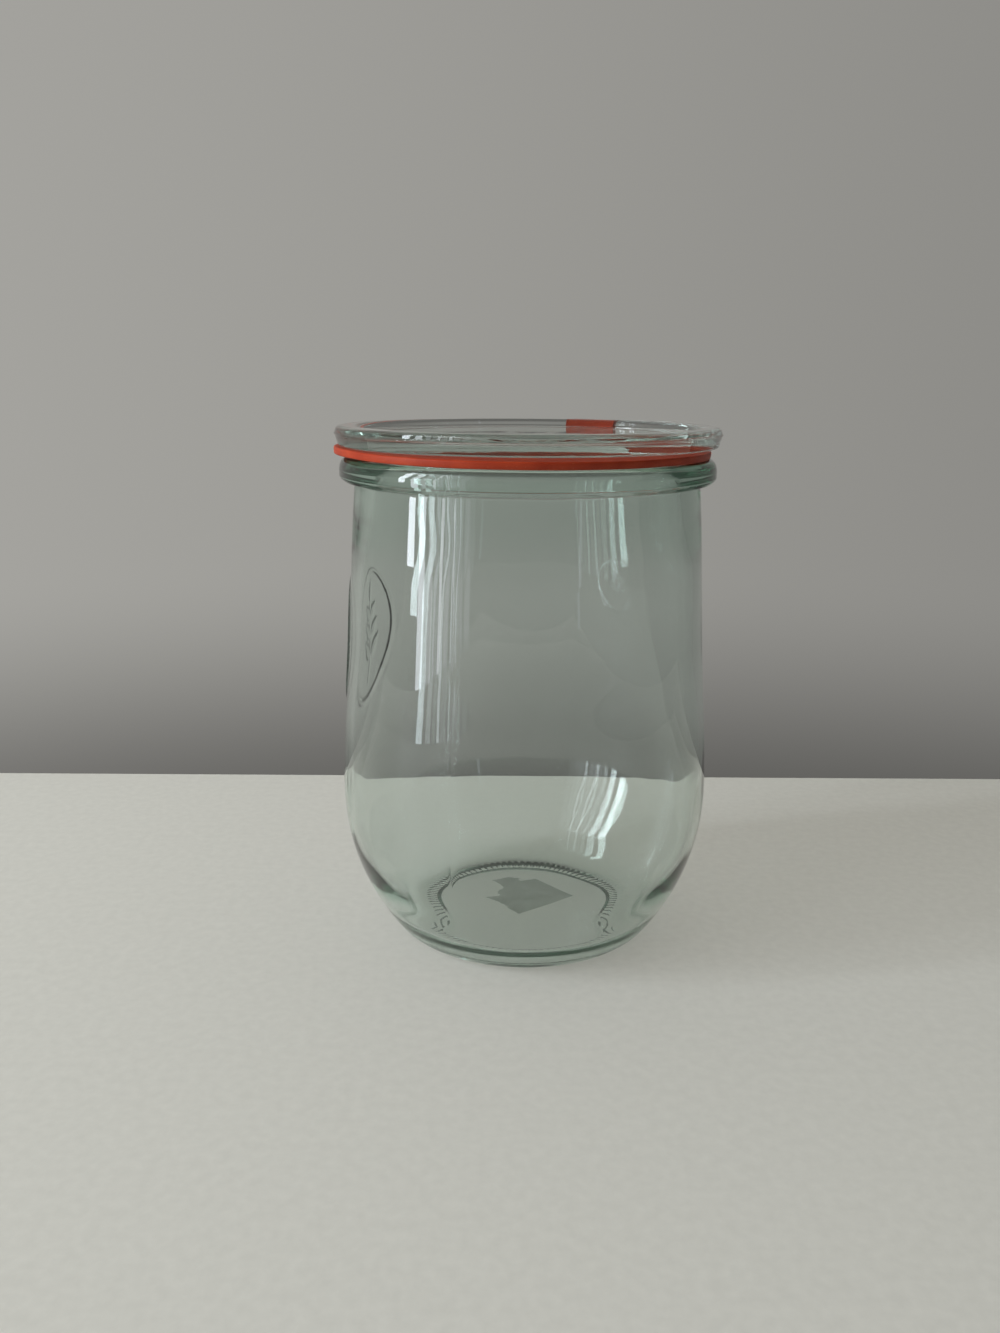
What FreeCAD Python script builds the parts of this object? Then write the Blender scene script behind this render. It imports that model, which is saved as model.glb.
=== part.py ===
import FreeCAD, Part
import math
import os

# One-litre tulip canning jar with a loose glass lid on a rubber ring.
# Millimetres. Z is the jar's axis and z = 0 is the surface that it stands on.

# Jar body: a bowl that swells to the belly, a tulip waist, and a slightly tapered neck.
BELLY_RADIUS = 55.4
BELLY_HEIGHT = 45.0
BOWL_RADIUS = 67.5
SHOULDER_RADIUS = 54.95
SHOULDER_HEIGHT = 57.0
WAIST_RADIUS = 53.2
WAIST_HEIGHT = 82.0
NECK_RADIUS = 49.9
NECK_HEIGHT = 136.8
NECK_TAPER = 0.085

# Jar base: a flat bearing ring with a ribbed inner edge around a pushed-up panel.
HEEL_ROUND = 9.0
RIBS_INNER = 27.8
RIBS_OUTER = 30.6
RIB_COUNT = 96
RIB_DEPTH = 0.45
PANEL_RADIUS = 27.0
PANEL_RISE = 1.2
FLOOR_HEIGHT = 3.2

# Jar inside, as (radius, height): thick at the heel, thinnest at the belly, thick again at the mouth.
FLOOR_FLAT = 26.5
INSIDE_BOWL = [(36.0, 4.8), (41.0, 8.7), (45.9, 17.2), (50.9, 29.0)]
INSIDE_BELLY = (52.9, 46.0)
INSIDE_WAIST = [(52.4, 59.0), (50.2, 84.0), (48.0, 114.0)]
BORE_BOTTOM = 136.0

# Jar mouth: a rolled flange with a flat land for the ring.
MOUTH_RADIUS = 44.3
LAND_RADIUS = 52.4
LAND_HEIGHT = 144.1
FLANGE_RADIUS = 54.3
FLANGE_TOP = 141.4
FLANGE_BOTTOM = 138.6
FLANGE_UNDERCUT = 137.4
UNDERCUT_RADIUS = 52.7

# Lid: a disc with a raised rim on top and a locating rib below.
LID_RADIUS = 55.6
LID_SEAL = 147.4
LID_SEAL_RADIUS = 54.9
LID_PARTING = 150.9
LID_TOP = 152.9
RIM_OUTER = 54.0
RIM_INNER = 48.0
RECESS_RADIUS = 47.2
RECESS_FLOOR = 150.5
RIB_OUTER = 43.3
RIB_INNER = 39.8
RIB_BOTTOM = 143.0
LID_PANEL_UNDER = 146.3

# Rubber ring: 94 x 108 mm, dished so that its outer edge is the lower one, and pushed off centre.
RING_INNER = 47.2
RING_OUTER = 54.0
RING_THICKNESS = 2.1
RING_UNDER = 145.0
RING_DROOP = 0.6
RING_OFFSET = -1.6
RING_ROUND = 0.4

# Pull tab, bent up behind the lid.
TAB_WIDTH = 17.5
TAB_THICKNESS = 1.8
TAB_INNER = 56.2
TAB_TOP = 152.2
TAB_BEARING = 66.0
TAB_ROUND = 3.0

# Paper label, a square whose one side is torn away.
LABEL_THICKNESS = 0.12
LABEL_OUTLINE = [
    (17.5, 2.8), (4.6, 18.9), (-0.5, 16.3), (-0.6, 19.3), (-4.2, 20.0), (-9.6, 16.9), (-7.7, 14.3),
    (-5.6, 10.9), (-8.1, 6.6), (-6.9, 3.4), (-11.6, 1.0), (-5.7, -5.6), (-3.7, -9.9), (-1.1, -12.8),
]

AXIS = FreeCAD.Vector(0, 0, 1)
CENTRE = FreeCAD.Vector(0, 0, 0)


def at(radius, height):
    return FreeCAD.Vector(radius, 0, height)


def path(points):
    """Straight edges through points given as (radius, height)."""
    corners = [at(*point) for point in points]
    return [Part.makeLine(a, b) for a, b in zip(corners, corners[1:])]


def turned(edges):
    """The solid of revolution of a closed outline about the jar's axis."""
    face = Part.Face(Part.Wire(edges))
    return face.revolve(CENTRE, AXIS, 360)


def rounded(solid, corners):
    """Round the circular edges at the corners given as (radius, height, rounding)."""
    for radius, height, rounding in corners:
        edges = [edge for edge in solid.Edges if is_circle_at(edge, radius, height)]
        solid = solid.makeFillet(rounding, edges)
    return solid


def is_circle_at(edge, radius, height):
    if not isinstance(edge.Curve, Part.Circle):
        return False
    same_height = abs(edge.Curve.Center.z - height) < 0.01
    return same_height and abs(edge.Curve.Radius - radius) < 0.01


def is_middle_at(edge, **place):
    """Whether the middle of an edge has the given coordinates."""
    middle = edge.CenterOfMass
    return all(abs(getattr(middle, name) - value) < 0.01 for name, value in place.items())


def bowl():
    """Outside of the bowl: an arc from the foot up to the belly."""
    centre_radius = BELLY_RADIUS - BOWL_RADIUS
    foot_angle = math.asin(BELLY_HEIGHT / BOWL_RADIUS)
    points = []
    for angle in (foot_angle, foot_angle / 2, 0):
        radius = centre_radius + BOWL_RADIUS * math.cos(angle)
        points.append(at(radius, BELLY_HEIGHT - BOWL_RADIUS * math.sin(angle)))
    return Part.Arc(*points).toShape()


def foot_radius():
    """Radius where the bowl's arc meets the ground."""
    return BELLY_RADIUS - BOWL_RADIUS + math.sqrt(BOWL_RADIUS ** 2 - BELLY_HEIGHT ** 2)


def smooth(points, start, end):
    """A smooth curve through points given as (radius, height), with its directions at both ends."""
    curve = Part.BSplineCurve()
    curve.interpolate([at(*point) for point in points], InitialTangent=at(*start), FinalTangent=at(*end))
    return curve.toShape()


def foot_grooves():
    """The grooves between the short radial ribs of the bearing ring."""
    pitch = 2 * math.pi * RIBS_OUTER / RIB_COUNT
    half = pitch / 4
    corners = [
        FreeCAD.Vector(RIBS_INNER - 2.0, -half, -0.01),
        FreeCAD.Vector(RIBS_INNER - 2.0, half, -0.01),
        FreeCAD.Vector(RIBS_INNER - 2.0, 0, RIB_DEPTH),
    ]
    triangle = Part.Face(Part.makePolygon(corners + corners[:1]))
    groove = triangle.extrude(FreeCAD.Vector(RIBS_OUTER - RIBS_INNER + 2.0, 0, 0))
    grooves = []
    for index in range(RIB_COUNT):
        turned_groove = groove.copy()
        turned_groove.rotate(CENTRE, AXIS, 360 * index / RIB_COUNT)
        grooves.append(turned_groove)
    return Part.makeCompound(grooves)


def make_jar_body():
    base = path([(0, FLOOR_HEIGHT), (0, PANEL_RISE), (PANEL_RADIUS, PANEL_RISE),
                 (RIBS_INNER, 0), (foot_radius(), 0)])
    waist = smooth([(BELLY_RADIUS, BELLY_HEIGHT), (SHOULDER_RADIUS, SHOULDER_HEIGHT),
                    (WAIST_RADIUS, WAIST_HEIGHT), (NECK_RADIUS, NECK_HEIGHT)], (0, 1), (-NECK_TAPER, 1))
    mouth = path([(NECK_RADIUS, NECK_HEIGHT), (UNDERCUT_RADIUS, FLANGE_UNDERCUT),
                  (FLANGE_RADIUS, FLANGE_BOTTOM), (FLANGE_RADIUS, FLANGE_TOP),
                  (LAND_RADIUS, LAND_HEIGHT), (MOUTH_RADIUS, LAND_HEIGHT), (MOUTH_RADIUS, BORE_BOTTOM)])
    inside_wall = smooth([(MOUTH_RADIUS, BORE_BOTTOM), *reversed(INSIDE_WAIST), INSIDE_BELLY],
                         (0, -1), (0, -1))
    inside_bowl = smooth([INSIDE_BELLY, *reversed(INSIDE_BOWL), (FLOOR_FLAT, FLOOR_HEIGHT)],
                         (0, -1), (-1, 0))
    floor = path([(FLOOR_FLAT, FLOOR_HEIGHT), (0, FLOOR_HEIGHT)])
    solid = turned(base + [bowl(), waist] + mouth + [inside_wall, inside_bowl] + floor)
    solid = rounded(solid, [
        (foot_radius(), 0, HEEL_ROUND),
        (FLANGE_RADIUS, FLANGE_BOTTOM, 0.8),
        (FLANGE_RADIUS, FLANGE_TOP, 1.0),
        (LAND_RADIUS, LAND_HEIGHT, 1.0),
        (MOUTH_RADIUS, LAND_HEIGHT, 1.2),
    ])
    return solid.cut(foot_grooves())


def make_lid():
    under = path([(0, RECESS_FLOOR), (0, LID_PANEL_UNDER), (RIB_INNER, LID_PANEL_UNDER),
                  (RIB_INNER, RIB_BOTTOM), (RIB_OUTER, RIB_BOTTOM), (RIB_OUTER, LID_SEAL),
                  (LID_SEAL_RADIUS, LID_SEAL)])
    rim = path([(LID_SEAL_RADIUS, LID_SEAL), (LID_RADIUS, LID_PARTING), (RIM_OUTER, LID_TOP),
                (RIM_INNER, LID_TOP), (RECESS_RADIUS, RECESS_FLOOR), (0, RECESS_FLOOR)])
    return rounded(turned(under + rim), [
        (RIB_INNER, RIB_BOTTOM, 1.0),
        (RIB_OUTER, RIB_BOTTOM, 1.0),
        (LID_SEAL_RADIUS, LID_SEAL, 1.4),
        (RIM_OUTER, LID_TOP, 1.2),
        (RIM_INNER, LID_TOP, 1.0),
    ])


def make_pull_tab():
    """A strip that leaves the ring radially and turns up, with its two free corners rounded."""
    root_top = RING_UNDER - RING_DROOP + RING_THICKNESS - 0.05
    root_under = root_top - TAB_THICKNESS
    outer = TAB_INNER + TAB_THICKNESS
    start = RING_OUTER - 3.2
    strip = Part.Wire(path([(start, root_under), (outer, root_under), (outer, TAB_TOP),
                            (TAB_INNER, TAB_TOP), (TAB_INNER, root_top), (start, root_top),
                            (start, root_under)]))
    tab = Part.Face(strip).extrude(FreeCAD.Vector(0, TAB_WIDTH, 0))
    tab.translate(FreeCAD.Vector(0, -TAB_WIDTH / 2, 0))
    half = TAB_WIDTH / 2
    free_corners = [edge for edge in tab.Edges
                    if is_middle_at(edge, z=TAB_TOP) and abs(edge.CenterOfMass.y) > half - 0.01]
    tab = tab.makeFillet(TAB_ROUND, free_corners)
    bend = [edge for edge in tab.Edges if is_middle_at(edge, x=outer, z=root_under)]
    tab = tab.makeFillet(TAB_THICKNESS * 0.9, bend)
    tab.rotate(CENTRE, AXIS, TAB_BEARING)
    return tab


def make_sealing_ring():
    outer_under = RING_UNDER - RING_DROOP
    section = path([(RING_INNER, RING_UNDER), (RING_OUTER, outer_under),
                    (RING_OUTER, outer_under + RING_THICKNESS), (RING_INNER, RING_UNDER + RING_THICKNESS),
                    (RING_INNER, RING_UNDER)])
    ring = rounded(turned(section), [
        (RING_INNER, RING_UNDER, RING_ROUND),
        (RING_OUTER, outer_under, RING_ROUND),
        (RING_OUTER, outer_under + RING_THICKNESS, RING_ROUND),
        (RING_INNER, RING_UNDER + RING_THICKNESS, RING_ROUND),
    ])
    ring.translate(FreeCAD.Vector(RING_OFFSET, 0, 0))
    return ring.fuse(make_pull_tab()).removeSplitter()


def make_label_remnant():
    corners = [FreeCAD.Vector(x, y, PANEL_RISE - LABEL_THICKNESS) for x, y in LABEL_OUTLINE]
    face = Part.Face(Part.makePolygon(corners + corners[:1]))
    return face.extrude(FreeCAD.Vector(0, 0, LABEL_THICKNESS))


os.makedirs("parts", exist_ok=True)
pieces = {
    "jar_body": make_jar_body(),
    "lid": make_lid(),
    "sealing_ring": make_sealing_ring(),
    "label_remnant": make_label_remnant(),
}
for name, piece in pieces.items():
    piece.exportStep(f"parts/{name}.step")
    box = piece.BoundBox
    print(f"{name}: {piece.Volume / 1000:.2f} cm3, valid {piece.isValid()}, solids {len(piece.Solids)}, "
          f"x {box.XMin:.2f} to {box.XMax:.2f}, y {box.YMin:.2f} to {box.YMax:.2f}, "
          f"z {box.ZMin:.2f} to {box.ZMax:.2f}")
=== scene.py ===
import math

import bpy
import numpy as np
from mathutils import Euler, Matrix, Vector


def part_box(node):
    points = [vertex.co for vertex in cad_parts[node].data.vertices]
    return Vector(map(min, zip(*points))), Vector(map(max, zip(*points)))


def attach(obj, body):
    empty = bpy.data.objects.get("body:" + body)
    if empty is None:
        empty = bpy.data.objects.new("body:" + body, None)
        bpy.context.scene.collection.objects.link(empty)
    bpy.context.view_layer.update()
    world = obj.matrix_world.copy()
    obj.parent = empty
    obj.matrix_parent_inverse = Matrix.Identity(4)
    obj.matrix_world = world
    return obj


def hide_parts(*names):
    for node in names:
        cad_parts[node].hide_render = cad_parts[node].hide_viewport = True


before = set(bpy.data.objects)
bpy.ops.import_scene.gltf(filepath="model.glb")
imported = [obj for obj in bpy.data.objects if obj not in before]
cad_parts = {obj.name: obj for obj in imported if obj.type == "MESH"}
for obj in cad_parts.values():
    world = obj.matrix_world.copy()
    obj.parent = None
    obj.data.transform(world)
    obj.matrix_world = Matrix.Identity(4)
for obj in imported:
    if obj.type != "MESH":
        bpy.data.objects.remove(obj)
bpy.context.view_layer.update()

# --- Jar body ---------------------------------------------------------------------------------
# The jar is one piece of pale green soda-lime glass, blown in a two-part mould: a round bowl, a
# tulip waist and a thick rolled mouth. The mould leaves two fine seams, a leaf sprig in relief and
# a ring of short ribs under the foot. The inside was free in the mould, so it is slightly wavy.

MM = 0.001
JAR_LOW, JAR_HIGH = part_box("jar_body")
BELLY_RADIUS = (JAR_HIGH.x - JAR_LOW.x) / 2 / MM
LAND_HEIGHT = JAR_HIGH.z / MM
BELLY_HEIGHT = 45.0
BOWL_RADIUS = 67.5
BOWL_STEP = 1.8
HEEL_TOP = 3.6
SHOULDER = (54.95, 57.0)
WAIST = (53.2, 82.0)
NECK = (49.9, 136.8)
NECK_TAPER = 0.085
FLOOR_FLAT = 26.5
FLOOR_HEIGHT = 3.2
FLOOR_CROWN = 0.4
INSIDE_BOWL = [(36.0, 4.8), (41.0, 8.7), (45.9, 17.2), (50.9, 29.0)]
INSIDE_BELLY = (52.9, 46.0)
INSIDE_WAIST = [(52.4, 59.0), (50.2, 84.0), (48.0, 114.0)]
MOUTH_RADIUS = 44.3
BORE_BOTTOM = 136.0
PANEL_RISE = 1.2
PANEL_DOME = 0.4

GREEN_GLASS_ABSORBED = (0.0, 0.44, 0.24)
GREEN_GLASS_DENSITY = 25.0
WAVE_SIZE_MM = 14.0
SMEAR_SIZE_MM = 9.0
DRAW_LINE_MM = 2.4
DRAW_STRETCH = 0.06
DRAW_DEPTH = 0.12


def linear(hex_colour):
    """An sRGB hex colour as linear red, green, blue and an alpha of one."""
    parts = [int(hex_colour[i:i + 2], 16) / 255 for i in (1, 3, 5)]
    return [c / 12.92 if c <= 0.04045 else ((c + 0.055) / 1.055) ** 2.4 for c in parts] + [1.0]


def add_node(tree, kind, settings=(), inputs=(), links=()):
    """Add a shader node with its properties, its unlinked values and the sockets that feed it."""
    node = tree.nodes.new(kind)
    for name, value in dict(settings).items():
        setattr(node, name, value)
    for name, value in dict(inputs).items():
        node.inputs[name].default_value = value
    for name, socket in dict(links).items():
        tree.links.new(socket, node.inputs[name])
    return node


def blank_material(name):
    """A material with an empty node tree and its output node."""
    material = bpy.data.materials.new(name)
    material.use_nodes = True
    material.node_tree.nodes.clear()
    output = add_node(material.node_tree, "ShaderNodeOutputMaterial")
    return material, material.node_tree, output


def bend(start, corner, end, steps=10):
    """A soft corner: a parabola from start to end that is pulled towards the corner."""
    points = []
    for t in np.linspace(0, 1, steps):
        point = [(1 - t) ** 2 * a + 2 * t * (1 - t) * b + t * t * c for a, b, c in zip(start, corner, end)]
        points.append(tuple(point))
    return points


def rounded(corners):
    """An outline through corners given as (radius, height, rounding), each rounded by that much."""
    points = []
    for index, (radius, height, rounding) in enumerate(corners):
        here = np.array([radius, height])
        if rounding == 0:
            points.append((radius, height))
            continue
        back = np.array(corners[index - 1][:2]) - here
        ahead = np.array(corners[index + 1][:2]) - here
        start = here + back / np.linalg.norm(back) * rounding
        end = here + ahead / np.linalg.norm(ahead) * rounding
        points += bend(start, here, end)
    return points


def bowl_point(height):
    """A point of the bowl's arc and the direction that the arc runs in there, going up."""
    centre = BELLY_RADIUS - BOWL_RADIUS
    sine = (BELLY_HEIGHT - height) / BOWL_RADIUS
    cosine = math.sqrt(1 - sine ** 2)
    return np.array([centre + BOWL_RADIUS * cosine, height]), np.array([sine, cosine])


def heel():
    """The soft corner between the foot and the bowl, up to where the bowl's own arc begins."""
    end, direction = bowl_point(HEEL_TOP)
    corner = end - direction * end[1] / direction[1]
    reach = np.linalg.norm(end - corner)
    return bend(corner - np.array([reach, 0]), corner, end, 14)


def bowl_arc():
    """The bowl's outside from the top of the heel to the belly."""
    heights = np.arange(HEEL_TOP, BELLY_HEIGHT, BOWL_STEP)[1:]
    return [tuple(bowl_point(height)[0]) for height in heights]


def flowing(knots, start, end, step):
    """A smooth line through knots given as (radius, height), with its directions at both ends."""
    spots = np.array(knots)
    gaps = np.linalg.norm(np.diff(spots, axis=0), axis=1)
    runs = np.diff(spots, axis=0) / gaps[:, None]
    slopes = [np.array(start) / np.linalg.norm(start)]
    for k in range(1, len(spots) - 1):
        slopes.append((runs[k - 1] * gaps[k] + runs[k] * gaps[k - 1]) / (gaps[k - 1] + gaps[k]))
    slopes.append(np.array(end) / np.linalg.norm(end))
    points = []
    for k, gap in enumerate(gaps):
        for t in np.linspace(0, 1, max(2, round(gap / step)), endpoint=False):
            point = (2 * t ** 3 - 3 * t ** 2 + 1) * spots[k] + (3 * t ** 2 - 2 * t ** 3) * spots[k + 1]
            point = point + gap * ((t ** 3 - 2 * t ** 2 + t) * slopes[k] + (t ** 3 - t ** 2) * slopes[k + 1])
            points.append(tuple(point))
    return points + [tuple(spots[-1])]


FOOT_RIB_INNER = 28.5
FOOT_RIB_MIDDLE = 29.8
FOOT_RIB_OUTER = 31.2
FOOT_RIB_COUNT = 96
FOOT_RIB_DEPTH = 0.5
STEPS_PER_RIB = 6
SEAM_ANGLE = math.radians(248)
SEAM_HEIGHT = 0.05
SEAM_WIDTH = 0.35
SEAM_WALL_RADIUS = 53.0
SEAM_FADE = (40.0, 14.0)
SPRIG_ANGLE = math.radians(169)
SPRIG_HEIGHT = 90.0
SPRIG_HALF = (19.0, 22.0)
SPRIG_RELIEF = 0.55
SPRIG_WALL_RADIUS = 53.3
SPRIG_BAND = (66.0, 114.0)
SPRIG_HALF_ANGLE = math.radians(24.5)
FINE_STEP = math.radians(0.46)
COARSE_STEP = math.radians(1.9)
OUTSIDE_WAVE = 0.10
INSIDE_WAVE = 0.07


def falloff(distance, width):
    """One inside, zero beyond the width, and smooth between."""
    t = np.clip(1 - distance / width, 0, 1)
    return t * t * (3 - 2 * t)


def leaf(across, up, base, angle, length, half_width):
    """The height of a raised leaf with a groove along its middle."""
    x = (across - base[0]) * math.cos(angle) + (up - base[1]) * math.sin(angle)
    y = -(across - base[0]) * math.sin(angle) + (up - base[1]) * math.cos(angle)
    share = np.clip(x / length, 0, 1)
    edge = half_width * np.sin(math.pi * share ** 0.8)
    inside = (x > 0) & (x < length)
    body = falloff(np.abs(y), np.maximum(edge, 0.05) * 1.15) * inside
    groove = falloff(np.abs(y), 0.45) * (share < 0.85)
    return np.clip(body * 1.6, 0, 1) - 0.45 * groove * (body > 0.3)


def sprig_relief(angle, height):
    """How far the sprig in its oval stands proud of the wall, in millimetres."""
    across = (angle - SPRIG_ANGLE) * SPRIG_WALL_RADIUS
    up = height - SPRIG_HEIGHT
    ring = np.sqrt((across / SPRIG_HALF[0]) ** 2 + (up / SPRIG_HALF[1]) ** 2)
    relief = falloff(np.abs(ring - 1) * 20.0, 1.5)
    stem_line = 1.6 * np.sin(up / 9.0)
    stem = falloff(np.abs(across - stem_line), 1.0) * falloff(np.abs(up + 1) - 14, 2.0)
    relief = np.maximum(relief, stem)
    for step in range(3):
        base_up = -9.0 + 6.5 * step
        base = (1.6 * math.sin(base_up / 9.0), base_up)
        length = 11.0 - 1.2 * step
        for lean in (math.radians(38), math.radians(142)):
            relief = np.maximum(relief, leaf(across, up, base, lean, length, 2.6))
    top = (1.6 * math.sin(11.0 / 9.0), 10.0)
    relief = np.maximum(relief, leaf(across, up, top, math.radians(92), 8.5, 2.2))
    return SPRIG_RELIEF * relief


def waviness(angle, height, amount, seed):
    """Slow ripples of the wall, which run mostly up and down, as glass flows in the mould."""
    chance = np.random.default_rng(seed)
    total = np.zeros_like(angle)
    for turns in (2, 3, 5, 7, 11, 16, 23):
        phase = chance.uniform(0, 2 * math.pi)
        drift = chance.uniform(-0.035, 0.035)
        swell = 1 + 0.5 * np.sin(height / chance.uniform(12, 25) + chance.uniform(0, 6))
        total += np.sin(turns * angle + phase + drift * height) * swell / turns ** 0.8
    return amount * total


def seams(angle):
    """The two mould seams, as a share of their full height."""
    total = np.zeros_like(angle)
    for place in (SEAM_ANGLE, SEAM_ANGLE - math.pi):
        total += falloff(np.abs(angle - place) * SEAM_WALL_RADIUS, SEAM_WIDTH)
    return total


def wall_angles():
    """Angles round the wall: close together over the sprig and the seams, wider elsewhere."""
    half = SPRIG_HALF_ANGLE
    fine = np.arange(SPRIG_ANGLE - half, SPRIG_ANGLE + half, FINE_STEP)
    coarse = np.arange(SPRIG_ANGLE + half, SPRIG_ANGLE - half + 2 * math.pi, COARSE_STEP)
    near_seams = [place + offset * SEAM_WIDTH / SEAM_WALL_RADIUS
                  for place in (SEAM_ANGLE, SEAM_ANGLE - math.pi)
                  for offset in (-1.0, -0.5, 0.0, 0.5, 1.0)]
    every = np.concatenate([fine, coarse])
    every = np.array([a for a in every if min(abs(a % (2 * math.pi) - s) for s in near_seams) > 0.006])
    return np.sort(np.concatenate([every % (2 * math.pi), near_seams]))


def add_ring_faces(faces, low, high, low_angles, high_angles):
    """Faces between two rings of vertices, as quads where the rings match and triangles where not."""
    low_count = len(low)
    high_count = len(high)
    if low_count == 1:
        faces += [(low[0], high[(k + 1) % high_count], high[k]) for k in range(high_count)]
        return
    if high_count == 1:
        faces += [(low[k], low[(k + 1) % low_count], high[0]) for k in range(low_count)]
        return
    if low_count == high_count:
        for k in range(low_count):
            after = (k + 1) % low_count
            faces.append((low[k], low[after], high[after], high[k]))
        return
    i = 0
    j = 0
    while i < low_count or j < high_count:
        next_low = low_angles[i + 1] if i + 1 < low_count else low_angles[0] + 2 * math.pi
        next_high = high_angles[j + 1] if j + 1 < high_count else high_angles[0] + 2 * math.pi
        if j >= high_count or (i < low_count and next_low <= next_high):
            faces.append((low[i], low[(i + 1) % low_count], high[j % high_count]))
            i += 1
        else:
            faces.append((low[i % low_count], high[(j + 1) % high_count], high[j]))
            j += 1


def turned_mesh(name, rings):
    """A closed mesh from rings of (angles, radii, heights) in millimetres, from pole to pole."""
    places = []
    faces = []
    before = None
    for angles, radii, heights in rings:
        start = len(places)
        if np.max(radii) == 0:
            places.append((0, 0, heights[0] * MM))
        else:
            xs = radii * np.cos(angles) * MM
            ys = radii * np.sin(angles) * MM
            places += list(zip(xs, ys, heights * MM))
        here = list(range(start, len(places)))
        if before:
            add_ring_faces(faces, before[0], here, before[1], angles)
        before = (here, angles)
    mesh = bpy.data.meshes.new(name)
    mesh.from_pydata(places, [], faces)
    mesh.update()
    for face in mesh.polygons:
        face.use_smooth = True
    piece = bpy.data.objects.new(name, mesh)
    bpy.context.scene.collection.objects.link(piece)
    return piece


def jar_rings():
    """The jar's surface as rings: from under the foot, up the outside, over the mouth and inside."""
    wall = wall_angles()
    foot = np.arange(0, 2 * math.pi, 2 * math.pi / (FOOT_RIB_COUNT * STEPS_PER_RIB))
    rings = [(wall, np.zeros(len(wall)), np.full(len(wall), PANEL_RISE + PANEL_DOME))]

    # The panel under the foot, domed up a little, and the step down to the ribbed bearing ring.
    for radius in (4.0, 9.0, 14.0, 19.0, 23.0, 25.5, 26.6):
        dome = PANEL_DOME * (1 - (radius / 27) ** 2)
        rings.append((wall, np.full(len(wall), radius), np.full(len(wall), PANEL_RISE + dome)))
    for radius, depth in ((27.0, 1.0), (27.4, 0.75), (27.8, 0.45), (28.2, 0.2)):
        rings.append((foot, np.full(len(foot), radius), np.full(len(foot), PANEL_RISE * depth)))
    rib = 0.5 - 0.5 * np.cos(foot * FOOT_RIB_COUNT)
    for radius in np.arange(FOOT_RIB_INNER, FOOT_RIB_OUTER, 0.35):
        ends = falloff(abs(radius - FOOT_RIB_MIDDLE) - 0.7, 0.8)
        rings.append((foot, np.full(len(foot), radius), FOOT_RIB_DEPTH * ends * rib ** 0.7))
    rings.append((wall, np.full(len(wall), 32.0), np.zeros(len(wall))))

    outside = heel() + bowl_arc()
    knots = [(BELLY_RADIUS, BELLY_HEIGHT), SHOULDER, WAIST, NECK]
    waist = flowing(knots, (0, 1), (-NECK_TAPER, 1), 0.62)[:-1]
    low, high = SPRIG_BAND
    outside += [p for p in waist if p[1] < low][::3] + [p for p in waist if low <= p[1] <= high]
    outside += [p for p in waist if p[1] > high][::3]
    for radius, height in outside:
        seam = SEAM_HEIGHT * seams(wall) * falloff(SEAM_FADE[0] - height, SEAM_FADE[1])
        relief = sprig_relief(wall, height) + seam
        relief += waviness(wall, height, OUTSIDE_WAVE, 5) * falloff(10 - height, 6)
        rings.append((wall, radius + relief, np.full(len(wall), height)))

    for radius, height in mouth_outline():
        relief = 0.7 * SEAM_HEIGHT * seams(wall) * (radius > 53.0)
        rings.append((wall, radius + relief, np.full(len(wall), height)))

    inside = flowing([(MOUTH_RADIUS, BORE_BOTTOM), *INSIDE_WAIST[::-1], INSIDE_BELLY],
                     (0, -1), (0, -1), 2.2)
    inside += flowing([INSIDE_BELLY, *INSIDE_BOWL[::-1], (FLOOR_FLAT, FLOOR_HEIGHT)],
                      (0, -1), (-1, 0), 1.8)[1:]
    for radius, height in inside:
        wave = waviness(wall, height, INSIDE_WAVE, 11) * falloff(14 - height, 8)
        wave = wave * falloff(height - 126, 8)
        rings.append((wall, radius + wave, np.full(len(wall), height)))
    for radius in (18.0, 14.0, 10.0, 5.0):
        crown = FLOOR_CROWN * (1 - (radius / FLOOR_FLAT) ** 2)
        rings.append((wall, np.full(len(wall), radius), np.full(len(wall), FLOOR_HEIGHT + crown)))
    rings.append((wall, np.zeros(len(wall)), np.full(len(wall), FLOOR_HEIGHT + FLOOR_CROWN)))
    return rings


def mouth_outline():
    """The rolled flange: out from the neck, up, over the flat land and down inside the mouth."""
    return rounded([
        (NECK[0], NECK[1] + 0.1, 0.0), (NECK[0] + 0.1, NECK[1] + 0.4, 0.25), (52.9, 137.5, 0.4),
        (54.3, 138.7, 0.6), (54.3, 141.5, 0.6), (53.7, 143.2, 0.7), (52.5, LAND_HEIGHT, 0.7),
        (MOUTH_RADIUS, LAND_HEIGHT, 1.3), (MOUTH_RADIUS, BORE_BOTTOM + 2.0, 0.0),
    ])


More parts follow.
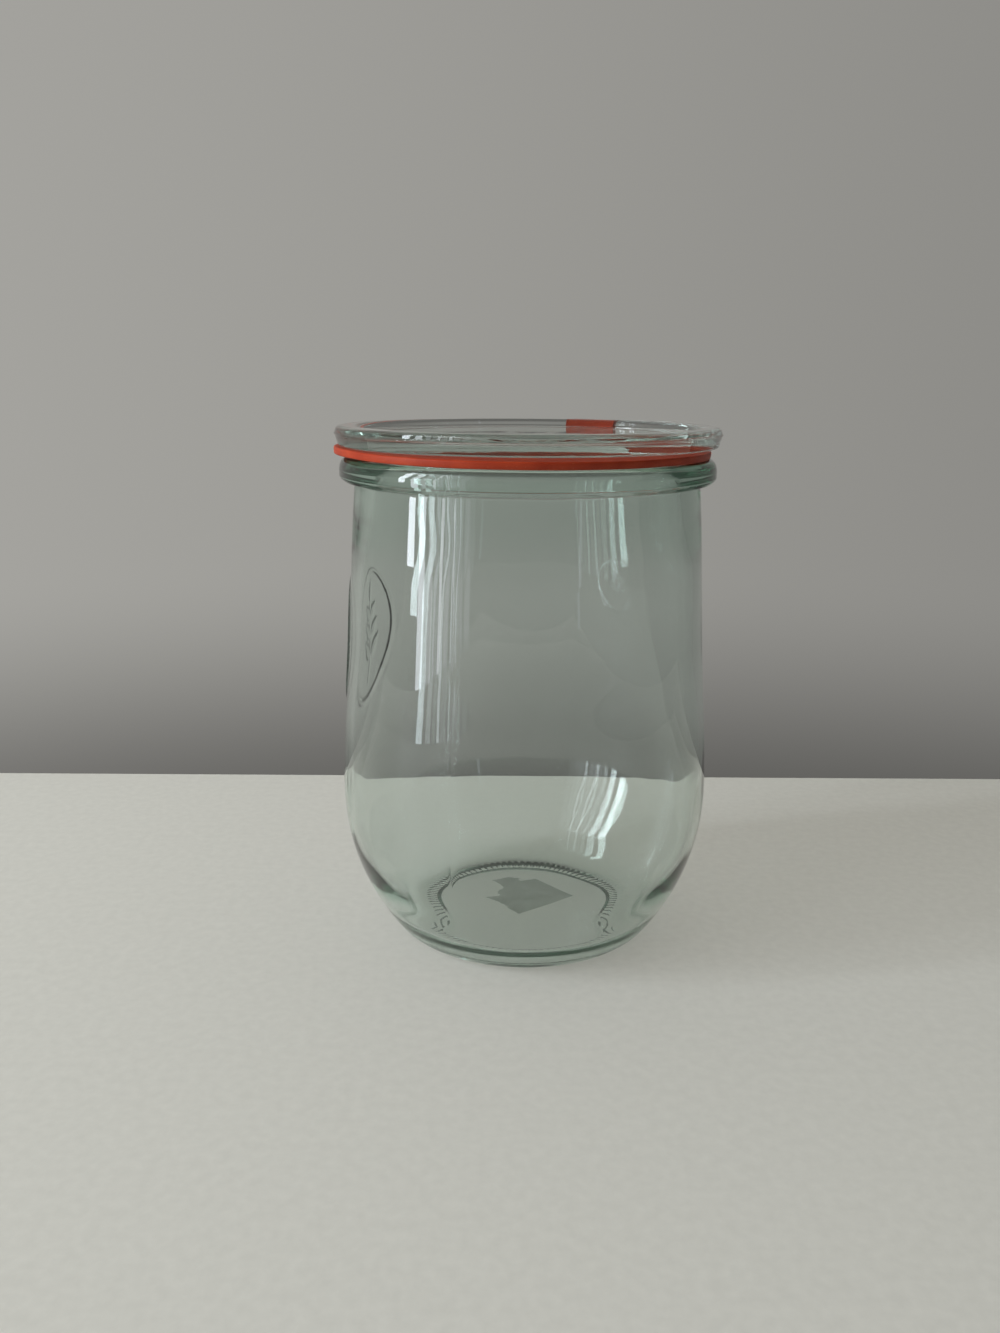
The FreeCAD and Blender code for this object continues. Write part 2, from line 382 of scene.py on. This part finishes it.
def pressed_glass(name, wave_mm, smear_mm, density):
    """Soda-lime glass as it leaves a mould and has been handled: clear, with a fire-polished skin
    that ripples faintly, and thin smears that blur a reflection here and there. The iron in the
    sand tints it green, which only shows where the light travels a long way inside. Its surface
    colour is slightly under white and its tint's density is the one given."""
    material, tree, output = blank_material(name)
    place = add_node(tree, "ShaderNodeTexCoord").outputs["Object"]
    wave = add_node(tree, "ShaderNodeTexNoise",
                    inputs={"Scale": 1 / (wave_mm * MM), "Detail": 1.0, "Roughness": 0.4},
                    links={"Vector": place})
    upright = add_node(tree, "ShaderNodeMapping", inputs={"Scale": (1.0, 1.0, DRAW_STRETCH)},
                       links={"Vector": place})
    draw = add_node(tree, "ShaderNodeTexNoise",
                    inputs={"Scale": 1 / (DRAW_LINE_MM * MM), "Detail": 2.0, "Roughness": 0.5},
                    links={"Vector": upright.outputs["Vector"]})
    skin = add_node(tree, "ShaderNodeMath", settings={"operation": "MULTIPLY_ADD"},
                    inputs={1: DRAW_DEPTH},
                    links={0: draw.outputs["Fac"], 2: wave.outputs["Fac"]})
    bump = add_node(tree, "ShaderNodeBump", inputs={"Strength": 0.06, "Distance": 0.00035},
                    links={"Height": skin.outputs["Value"]})
    smear = add_node(tree, "ShaderNodeTexNoise",
                     inputs={"Scale": 1 / (smear_mm * MM), "Detail": 5.0, "Distortion": 1.2},
                     links={"Vector": place})
    rough = add_node(tree, "ShaderNodeMapRange",
                     inputs={"From Min": 0.52, "From Max": 0.80, "To Min": 0.0, "To Max": 0.06},
                     links={"Value": smear.outputs["Fac"]})
    glass = add_node(tree, "ShaderNodeBsdfPrincipled",
                     inputs={"Base Color": linear("#F7F9F8"), "IOR": 1.52, "Transmission Weight": 1.0},
                     links={"Normal": bump.outputs["Normal"], "Roughness": rough.outputs["Result"]})
    tint = add_node(tree, "ShaderNodeVolumeAbsorption",
                    inputs={"Color": GREEN_GLASS_ABSORBED + (1.0,), "Density": density})
    tree.links.new(glass.outputs["BSDF"], output.inputs["Surface"])
    tree.links.new(tint.outputs["Volume"], output.inputs["Volume"])
    return material


jar = turned_mesh("jar_glass", jar_rings())
jar.data.materials.append(
    pressed_glass("blown_soda_lime_glass", WAVE_SIZE_MM, SMEAR_SIZE_MM, GREEN_GLASS_DENSITY))
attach(jar, "jar")
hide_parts("jar_body")

# --- Paper label --------------------------------------------------------------------------------
# What is left of a square price label, glued under the foot's panel: thin paper, torn off by
# hand along one side, which leaves a ragged edge where the fibres pulled apart. Its grey is
# painted shade, for the shade of the glass foot it lies under.

LABEL_CORNERS = [
    (17.5, 2.8), (4.6, 18.9), (-0.5, 16.3), (-0.6, 19.3), (-4.2, 20.0), (-9.6, 16.9), (-7.7, 14.3),
    (-5.6, 10.9), (-8.1, 6.6), (-6.9, 3.4), (-11.6, 1.0), (-5.7, -5.6), (-3.7, -9.9), (-1.1, -12.8),
]
CLEAN_SIDES = (0, 13)
LABEL_THICKNESS = 0.12
TEAR_STEP = 0.45


def torn_outline():
    """The label's edge: straight on its cut sides, and ragged along the tear."""
    chance = np.random.default_rng(3)
    outline = []
    for index, start in enumerate(LABEL_CORNERS):
        end = LABEL_CORNERS[(index + 1) % len(LABEL_CORNERS)]
        length = math.dist(start, end)
        steps = max(1, round(length / TEAR_STEP))
        ragged = 0.03 if index in CLEAN_SIDES else 0.22
        for step in range(steps):
            t = step / steps
            wander = chance.normal(0, ragged, 2) if step else (0, 0)
            outline.append((start[0] + (end[0] - start[0]) * t + wander[0],
                            start[1] + (end[1] - start[1]) * t + wander[1]))
    return outline


def label_mesh():
    """The label as a thin sheet under the panel, with its torn outline."""
    outline = torn_outline()
    count = len(outline)
    top = PANEL_RISE - 0.03
    places = [(x * MM, y * MM, (top - LABEL_THICKNESS) * MM) for x, y in outline]
    places += [(x * MM, y * MM, top * MM) for x, y in outline]
    faces = [tuple(range(count))[::-1], tuple(range(count, 2 * count))]
    faces += [(k, (k + 1) % count, count + (k + 1) % count, count + k) for k in range(count)]
    mesh = bpy.data.meshes.new("paper_label")
    mesh.from_pydata(places, [], faces)
    mesh.update()
    piece = bpy.data.objects.new("paper_label", mesh)
    bpy.context.scene.collection.objects.link(piece)
    return piece


def torn_label_paper():
    """Uncoated label paper, coloured grey as painted shade for the shade it lies in under the foot:
    matt, with cloudy fibres about half a millimetre across and darker patches where glue is left."""
    material, tree, output = blank_material("torn_uncoated_paper")
    place = add_node(tree, "ShaderNodeTexCoord").outputs["Object"]
    fibres = add_node(tree, "ShaderNodeTexNoise",
                      inputs={"Scale": 1 / (0.6 * MM), "Detail": 6.0, "Roughness": 0.7},
                      links={"Vector": place})
    glue = add_node(tree, "ShaderNodeTexNoise", inputs={"Scale": 1 / (8 * MM), "Detail": 3.0},
                    links={"Vector": place})
    clouds = add_node(tree, "ShaderNodeMix", settings={"data_type": "FLOAT"}, inputs={"Factor": 0.6},
                      links={"A": fibres.outputs["Fac"], "B": glue.outputs["Fac"]})
    # The ramp's greys are painted shade: paper darkened for the shade under the glass foot.
    colour = add_node(tree, "ShaderNodeValToRGB", links={"Fac": clouds.outputs["Result"]})
    colour.color_ramp.elements[0].position = 0.35
    colour.color_ramp.elements[0].color = linear("#8E938A")
    colour.color_ramp.elements[1].position = 0.65
    colour.color_ramp.elements[1].color = linear("#A9ADA3")
    bump = add_node(tree, "ShaderNodeBump", inputs={"Strength": 0.4, "Distance": 0.00005},
                    links={"Height": fibres.outputs["Fac"]})
    paper = add_node(tree, "ShaderNodeBsdfPrincipled", inputs={"Roughness": 0.9, "IOR": 1.47},
                     links={"Base Color": colour.outputs["Color"], "Normal": bump.outputs["Normal"]})
    tree.links.new(paper.outputs["BSDF"], output.inputs["Surface"])
    return material


label = label_mesh()
label.data.materials.append(torn_label_paper())
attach(label, "jar")
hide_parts("label_remnant")

# --- Rubber ring ----------------------------------------------------------------------------------
# A flat ring of orange-red natural rubber, punched from a sheet. It lies loose, off centre and wavy:
# flat under the lid on the left, drooping onto the mouth elsewhere. Its pull tab is bent up behind
# the lid and stands too close there: it overlaps the lid's edge by up to 1.3 mm.

RING_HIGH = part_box("sealing_ring")[1]
RING_INNER = 47.2
RING_WIDTH = 6.8
RING_THICKNESS = 2.1
RING_OFFSET = -1.6
LID_SEAL = 147.4
RING_TOP = LID_SEAL - 0.06
DROOP = math.radians(9.0)
FLAT_PLACE = math.radians(192)
FLAT_REACH = math.radians(75)
TAB_PLACE = math.radians(64)
TAB_HALF_WIDTH = 8.6
TAB_LENGTH = RING_HIGH.z / MM - 143.2
TAB_BEND = 2.0
TAB_CORNER = 2.4
TAB_ROOT = 1.2
RING_EDGE = 0.42
RING_STEP = math.radians(1.25)


def turn_from(angle, place):
    """How far an angle is from a place on the ring, the short way round."""
    return (angle - place + math.pi) % (2 * math.pi) - math.pi


def tab_reach(angle):
    """How far the outline stands out beyond the ring at an angle, in millimetres."""
    side = abs(turn_from(angle, TAB_PLACE)) * (RING_INNER + RING_WIDTH)
    if side <= TAB_HALF_WIDTH:
        into_corner = max(0.0, side - (TAB_HALF_WIDTH - TAB_CORNER))
        return TAB_LENGTH - TAB_CORNER + math.sqrt(max(0.0, TAB_CORNER ** 2 - into_corner ** 2))
    into_root = max(0.0, TAB_HALF_WIDTH + TAB_ROOT - side)
    return TAB_ROOT - math.sqrt(max(0.0, TAB_ROOT ** 2 - into_root ** 2))


def ring_line(angle, along):
    """Middle line of the ring's section at a distance along from its inner edge: place and slope."""
    flat = float(falloff(abs(turn_from(angle, FLAT_PLACE)), FLAT_REACH))
    ripple = 0.03 * math.sin(9 * angle + 1.0) + 0.02 * math.sin(14 * angle)
    droop = DROOP * (1 - flat) * (1 - 0.12 * math.sin(3 * angle + 0.5) ** 2)
    half = RING_THICKNESS / 2
    on_ring = min(along, RING_WIDTH)
    radius = RING_INNER + on_ring * math.cos(droop)
    height = RING_TOP - half - 0.06 * flat - on_ring * math.sin(droop)
    height = height + ripple * on_ring / RING_WIDTH * 0.6
    past = along - RING_WIDTH
    slope = -droop
    if past > 0:
        turned = min(past / TAB_BEND, math.pi / 2 + droop)
        radius += TAB_BEND * (math.sin(turned - droop) + math.sin(droop))
        height += TAB_BEND * (math.cos(droop) - math.cos(turned - droop))
        height += past - turned * TAB_BEND
        slope = turned - droop
    return radius, height, slope


def ring_section(angle):
    """The closed outline of the ring at an angle: under side outwards, round, and back on top."""
    length = RING_WIDTH + tab_reach(angle)
    half = RING_THICKNESS / 2
    edge = RING_EDGE
    stations = list(np.linspace(edge, RING_WIDTH - edge - 0.3, 7))
    stations += list(np.linspace(RING_WIDTH - edge, length - edge, 9))
    points = [(station, -half) for station in stations]
    points += [(length - edge * (1 - math.sin(t)), -half + edge * (1 - math.cos(t)))
               for t in (math.pi / 6, math.pi / 3, math.pi / 2)]
    points += [(length - edge * (1 - math.cos(t)), half - edge * (1 - math.sin(t)))
               for t in (0.0, math.pi / 6, math.pi / 3)]
    points += [(station, half) for station in stations[::-1]]
    points += [(edge * (1 - math.sin(t)), half - edge * (1 - math.cos(t)))
               for t in (math.pi / 6, math.pi / 3, math.pi / 2)]
    points += [(edge * (1 - math.cos(t)), -half + edge * (1 - math.sin(t)))
               for t in (0.0, math.pi / 6, math.pi / 3)]
    return points


def ring_angles():
    """Angles round the ring, close together at the tab's corners and sides."""
    at_edge = RING_INNER + RING_WIDTH
    sides = [0.0, 1.5, 3.0, 4.5, 5.75, 6.4, 7.0, 7.6, 8.1,
             8.5, 8.7, 8.75, 8.77, 8.85, 9.0, 9.3, 9.6, 9.95]
    near_tab = [TAB_PLACE + sign * side / at_edge
                for side in sides for sign in (-1, 1) if side or sign > 0]
    after_tab = TAB_PLACE + 10.8 / at_edge
    before_tab = TAB_PLACE - 10.7 / at_edge + 2 * math.pi
    return sorted(near_tab + list(np.arange(after_tab, before_tab, RING_STEP)))


def ring_mesh():
    """The ring with its tab: one section at each angle, joined all the way round."""
    places = []
    for angle in ring_angles():
        for along, rise in ring_section(angle):
            radius, height, slope = ring_line(angle, along)
            radius -= rise * math.sin(slope)
            height += rise * math.cos(slope)
            x = radius * math.cos(angle) + RING_OFFSET
            places.append((x * MM, radius * math.sin(angle) * MM, height * MM))
    columns = len(ring_angles())
    loop = len(places) // columns
    faces = []
    for column in range(columns):
        after = (column + 1) % columns
        for k in range(loop):
            following = (k + 1) % loop
            faces.append((column * loop + k, column * loop + following,
                          after * loop + following, after * loop + k))
    mesh = bpy.data.meshes.new("rubber_ring")
    mesh.from_pydata(places, [], faces)
    mesh.update()
    for face in mesh.polygons:
        face.use_smooth = True
    mesh.set_sharp_from_angle(angle=math.radians(50))
    piece = bpy.data.objects.new("rubber_ring", mesh)
    bpy.context.scene.collection.objects.link(piece)
    return piece


def punched_natural_rubber():
    """Orange-red natural rubber, calendered into a sheet and punched: a silky, low gloss, a faint
    mottle a few millimetres across, and pale specks of the chalk filler, drawn at a third of a
    millimetre so that they show."""
    material, tree, output = blank_material("punched_natural_rubber")
    place = add_node(tree, "ShaderNodeTexCoord").outputs["Object"]
    mottle = add_node(tree, "ShaderNodeTexNoise", inputs={"Scale": 1 / (5 * MM), "Detail": 4.0},
                      links={"Vector": place})
    colour = add_node(tree, "ShaderNodeValToRGB", links={"Fac": mottle.outputs["Fac"]})
    colour.color_ramp.elements[0].position = 0.3
    colour.color_ramp.elements[0].color = linear("#983014")
    colour.color_ramp.elements[1].position = 0.7
    colour.color_ramp.elements[1].color = linear("#A73B1C")
    specks = add_node(tree, "ShaderNodeTexVoronoi", inputs={"Scale": 1 / (1.1 * MM)},
                      links={"Vector": place})
    speck = add_node(tree, "ShaderNodeMapRange",
                     inputs={"From Min": 0.10, "From Max": 0.16, "To Min": 0.35, "To Max": 0.0},
                     links={"Value": specks.outputs["Distance"]})
    mixed = add_node(tree, "ShaderNodeMix", settings={"data_type": "RGBA"},
                     inputs={7: linear("#BC6644")},
                     links={0: speck.outputs["Result"], 6: colour.outputs["Color"]})
    grain = add_node(tree, "ShaderNodeTexNoise",
                     inputs={"Scale": 1 / (0.35 * MM), "Detail": 3.0, "Roughness": 0.6},
                     links={"Vector": place})
    rough = add_node(tree, "ShaderNodeMapRange", inputs={"To Min": 0.38, "To Max": 0.58},
                     links={"Value": grain.outputs["Fac"]})
    bump = add_node(tree, "ShaderNodeBump", inputs={"Strength": 0.35, "Distance": 0.00004},
                    links={"Height": grain.outputs["Fac"]})
    rubber = add_node(tree, "ShaderNodeBsdfPrincipled",
                      inputs={"IOR": 1.52, "Specular IOR Level": 0.25, "Subsurface Weight": 0.08,
                              "Subsurface Radius": (1.0, 0.3, 0.15), "Subsurface Scale": 0.0012},
                      links={"Base Color": mixed.outputs[2], "Roughness": rough.outputs["Result"],
                             "Normal": bump.outputs["Normal"]})
    tree.links.new(rubber.outputs["BSDF"], output.inputs["Surface"])
    return material


ring = ring_mesh()
ring.data.materials.append(punched_natural_rubber())
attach(ring, "ring")
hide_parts("sealing_ring")

# --- Lid --------------------------------------------------------------------------------------------
# A loose disc of the same green glass, pressed between a mould and a plunger: a sunk panel inside
# a rounded rim on top, a flat face below that presses on the ring, and a locating rib that drops
# into the mouth. The two halves of the mould met at the sharp line round its edge.

LID_LOW, LID_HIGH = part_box("lid")
LID_RADIUS = (LID_HIGH.x - LID_LOW.x) / 2 / MM
LID_TOP = LID_HIGH.z / MM
RIB_BOTTOM = LID_LOW.z / MM
PANEL_TOP = 150.5
PANEL_UNDER = 146.3
RECESS_RADIUS = 47.4
LID_STEP = math.radians(1.2)
LID_FACE_WAVE = 0.02
LID_EDGE_WAVE = 0.015
LID_WAVE_SIZE_MM = 18.0
LID_SMEAR_SIZE_MM = 12.0
LID_GLASS_DENSITY = 3.5


def lid_rings():
    """The lid's surface as rings: from under its middle, round the rib and rim, to the top."""
    outline = rounded([
        (30.0, PANEL_UNDER, 0.0), (39.5, PANEL_UNDER, 0.7), (39.9, RIB_BOTTOM, 0.9),
        (43.1, RIB_BOTTOM, 0.9), (43.5, LID_SEAL, 0.6), (54.4, LID_SEAL, 0.5), (55.3, 150.6, 0.3),
        (LID_RADIUS, 150.9, 0.12), (55.3, 151.2, 0.12), (54.9, 152.5, 0.4), (53.8, LID_TOP, 0.5),
        (49.2, LID_TOP, 1.3), (RECESS_RADIUS, PANEL_TOP, 1.0), (30.0, PANEL_TOP - 0.05, 0.0),
    ])
    angles = np.arange(0, 2 * math.pi, LID_STEP)
    flat = np.ones(len(angles))
    rings = [(angles, 0 * flat, (PANEL_UNDER + 0.1) * flat)]
    for radius in (6.0, 12.0, 18.0, 24.0):
        rings.append((angles, radius * flat, PANEL_UNDER + waviness(angles, radius, LID_FACE_WAVE, 21)))
    for radius, height in outline:
        ripple = waviness(angles, height * 4, LID_EDGE_WAVE, 22)
        rings.append((angles, radius + ripple, height * flat + ripple * 0.4))
    for radius in (24.0, 18.0, 12.0, 6.0):
        wave = waviness(angles, radius, LID_FACE_WAVE, 23)
        rings.append((angles, radius * flat, PANEL_TOP - 0.08 + wave))
    rings.append((angles, 0 * flat, (PANEL_TOP - 0.1) * flat))
    return rings


lid = turned_mesh("glass_lid", lid_rings())
lid.data.materials.append(
    pressed_glass("pressed_soda_lime_glass", LID_WAVE_SIZE_MM, LID_SMEAR_SIZE_MM, LID_GLASS_DENSITY))
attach(lid, "lid")
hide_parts("lid")

# --- Room: table, light and camera ----------------------------------------------------------------
# A pale painted board stands for the table. Grey light from all round stands for the walls, with
# tall soft lamps where the windows would be. None of it is part of the jar.

TABLE_BACK = 0.126
TABLE_HALF_WIDTH = 0.50
TABLE_FRONT = -0.95
TABLE_THICKNESS = 0.03
TABLE_GAP = 0.00003
TABLE_ROUNDING = 0.0008


def table_mesh():
    """A board with softly rounded edges, a hair below the jar's foot."""
    mesh = bpy.data.meshes.new("table")
    xs = (-TABLE_HALF_WIDTH, TABLE_HALF_WIDTH)
    ys = (TABLE_FRONT, TABLE_BACK)
    zs = (-TABLE_GAP - TABLE_THICKNESS, -TABLE_GAP)
    places = [(x, y, z) for z in zs for y in ys for x in xs]
    faces = [(0, 2, 3, 1), (4, 5, 7, 6), (0, 1, 5, 4), (1, 3, 7, 5), (3, 2, 6, 7), (2, 0, 4, 6)]
    mesh.from_pydata(places, [], faces)
    mesh.update()
    piece = bpy.data.objects.new("table", mesh)
    bpy.context.scene.collection.objects.link(piece)
    rounding = piece.modifiers.new("edge", "BEVEL")
    rounding.width = TABLE_ROUNDING
    rounding.segments = 3
    return piece


def satin_board_paint():
    """Off-white satin paint on board: almost matt, with a faint roller texture."""
    material, tree, output = blank_material("rolled_satin_paint")
    place = add_node(tree, "ShaderNodeTexCoord").outputs["Object"]
    roller = add_node(tree, "ShaderNodeTexNoise", inputs={"Scale": 1 / (3 * MM), "Detail": 5.0},
                      links={"Vector": place})
    colour = add_node(tree, "ShaderNodeValToRGB", links={"Fac": roller.outputs["Fac"]})
    colour.color_ramp.elements[0].position = 0.3
    colour.color_ramp.elements[0].color = linear("#D4D3CB")
    colour.color_ramp.elements[1].position = 0.7
    colour.color_ramp.elements[1].color = linear("#DAD9D1")
    bump = add_node(tree, "ShaderNodeBump", inputs={"Strength": 0.1, "Distance": 0.0001},
                    links={"Height": roller.outputs["Fac"]})
    paint = add_node(tree, "ShaderNodeBsdfPrincipled",
                     inputs={"Roughness": 0.6, "Specular IOR Level": 0.2},
                     links={"Base Color": colour.outputs["Color"], "Normal": bump.outputs["Normal"]})
    tree.links.new(paint.outputs["BSDF"], output.inputs["Surface"])
    return material


table = table_mesh()
table.data.materials.append(satin_board_paint())

ROOM_LIGHT = (0.22, 0.04)
WALL_LIGHT = (0.41, 0.23)
CEILING_LIGHT = 0.27
FLOOR_LIGHT = 0.40


def grey_surroundings():
    """Light from all round: a grey wall behind, lighter to the left and darker low down, a dim
    room in front and a pale ceiling, each running softly into the next."""
    world = bpy.data.worlds.new("grey_room")
    world.use_nodes = True
    tree = world.node_tree
    tree.nodes.clear()
    output = add_node(tree, "ShaderNodeOutputWorld")
    direction = add_node(tree, "ShaderNodeTexCoord").outputs["Generated"]
    parts = add_node(tree, "ShaderNodeSeparateXYZ", links={"Vector": direction})
    low_wall = add_node(tree, "ShaderNodeMapRange", settings={"interpolation_type": "SMOOTHSTEP"},
                        inputs={"From Min": -0.38, "From Max": -0.16, "To Min": 0.36, "To Max": 1.0},
                        links={"Value": parts.outputs["Z"]})
    sideways = add_node(tree, "ShaderNodeMapRange",
                        inputs={"From Min": -0.7, "From Max": 0.7, "To Min": WALL_LIGHT[0],
                                "To Max": WALL_LIGHT[1]},
                        links={"Value": parts.outputs["X"]})
    wall = add_node(tree, "ShaderNodeMath", settings={"operation": "MULTIPLY"},
                    links={0: low_wall.outputs["Result"], 1: sideways.outputs["Result"]})
    room = add_node(tree, "ShaderNodeMapRange", settings={"interpolation_type": "SMOOTHSTEP"},
                    inputs={"From Min": -1.0, "From Max": 0.4, "To Min": ROOM_LIGHT[0],
                            "To Max": ROOM_LIGHT[1]},
                    links={"Value": parts.outputs["X"]})
    behind = add_node(tree, "ShaderNodeMapRange", settings={"interpolation_type": "SMOOTHSTEP"},
                      inputs={"From Min": -0.5, "From Max": 0.5}, links={"Value": parts.outputs["Y"]})
    down = add_node(tree, "ShaderNodeMapRange", settings={"interpolation_type": "SMOOTHSTEP"},
                    inputs={"From Min": -0.35, "From Max": 0.10, "To Min": 1.0, "To Max": 0.0},
                    links={"Value": parts.outputs["Z"]})
    front = add_node(tree, "ShaderNodeMix", settings={"data_type": "FLOAT"}, inputs={3: FLOOR_LIGHT},
                     links={0: down.outputs["Result"], 2: room.outputs["Result"]})
    level = add_node(tree, "ShaderNodeMix", settings={"data_type": "FLOAT"},
                     links={0: behind.outputs["Result"], 2: front.outputs["Result"],
                            3: wall.outputs["Value"]})
    up = add_node(tree, "ShaderNodeMapRange", settings={"interpolation_type": "SMOOTHSTEP"},
                  inputs={"From Min": 0.30, "From Max": 0.95}, links={"Value": parts.outputs["Z"]})
    total = add_node(tree, "ShaderNodeMix", settings={"data_type": "FLOAT"}, inputs={3: CEILING_LIGHT},
                     links={0: up.outputs["Result"], 2: level.outputs["Result"]})
    light = add_node(tree, "ShaderNodeBackground", inputs={"Color": linear("#FFFDF6")},
                     links={"Strength": total.outputs["Result"]})
    tree.links.new(light.outputs["Background"], output.inputs["Surface"])
    return world


bpy.context.scene.world = grey_surroundings()


def soft_lamp(name, bearing, distance, low, high, width, brightness, colour):
    """A tall flat lamp that faces the jar, at a bearing from the front, positive to the right."""
    lamp = bpy.data.lights.new(name, "AREA")
    lamp.shape = "RECTANGLE"
    lamp.size = width
    lamp.size_y = high - low
    lamp.energy = brightness * math.pi * width * (high - low)
    lamp.color = linear(colour)[:3]
    place = Vector((distance * math.sin(bearing), -distance * math.cos(bearing), (low + high) / 2))
    piece = bpy.data.objects.new(name, lamp)
    piece.location = place
    piece.rotation_euler = (Vector((0, 0, place.z)) - place).to_track_quat("-Z", "Y").to_euler()
    bpy.context.scene.collection.objects.link(piece)
    return piece


WINDOW_DISTANCE = 1.6
# Each fold of the curtain: its bearing in degrees, its width in metres and its brightness.
CURTAIN_FOLDS = [
    (-62.5, 0.09, 2.6), (-58.5, 0.07, 1.2), (-55.5, 0.05, 5.5), (-52.0, 0.10, 1.2),
    (-48.0, 0.05, 4.6), (-44.0, 0.12, 0.9), (-38.0, 0.12, 0.7),
]

soft_lamp("window_pane_high", math.radians(-78), WINDOW_DISTANCE, 0.0, 1.3, 0.15, 14.0, "#EEF6FF")
soft_lamp("window_pane_low", math.radians(-69), WINDOW_DISTANCE, -0.35, 1.3, 0.13, 8.0, "#EEF6FF")
for fold, (bearing, width, brightness) in enumerate(CURTAIN_FOLDS):
    soft_lamp(f"window_curtain_{fold}", math.radians(bearing), WINDOW_DISTANCE, -0.3, 1.4, width,
              brightness, "#F2F6FF")
soft_lamp("window_across", math.radians(32), 2.2, -0.05, 0.40, 0.06, 1.4, "#E4F0FF")

# A fill that casts no shadow and isn't seen in or through the glass. It isn't light from the room:
# it lightens the table under the jar, which comes out too dark without it.
fill = soft_lamp("table_fill", math.radians(-72), 1.3, 0.7, 1.7, 0.8, 9.2, "#FAFAF8")
fill.data.use_shadow = False
fill.visible_glossy = False
fill.visible_transmission = False

CAMERA_PLACE = Vector((-0.0076, -0.3325, 0.1670))
CAMERA_PITCH = math.radians(14.5)
CAMERA_ROLL = math.radians(0.35)
LENS_MM = 30.5

view = bpy.data.cameras.new("camera")
view.sensor_fit = "VERTICAL"
view.sensor_height = 36.0
view.lens = LENS_MM
view.clip_start = 0.01
camera = bpy.data.objects.new("camera", view)
camera.location = CAMERA_PLACE
look = Euler((math.pi / 2 - CAMERA_PITCH, 0, 0)).to_matrix().to_4x4()
camera.rotation_euler = (look @ Euler((0, 0, CAMERA_ROLL)).to_matrix().to_4x4()).to_euler()
bpy.context.scene.collection.objects.link(camera)
bpy.context.scene.camera = camera
bpy.context.scene.view_settings.view_transform = "Standard"

# Light turns back many times inside thick glass, so reflections need many bounces as well as
# transmission does. With few of them the heel, the mouth and the lid's rim go dark.
bpy.context.scene.cycles.max_bounces = 32
bpy.context.scene.cycles.transmission_bounces = 32
bpy.context.scene.cycles.glossy_bounces = 24
bpy.context.scene.cycles.diffuse_bounces = 6
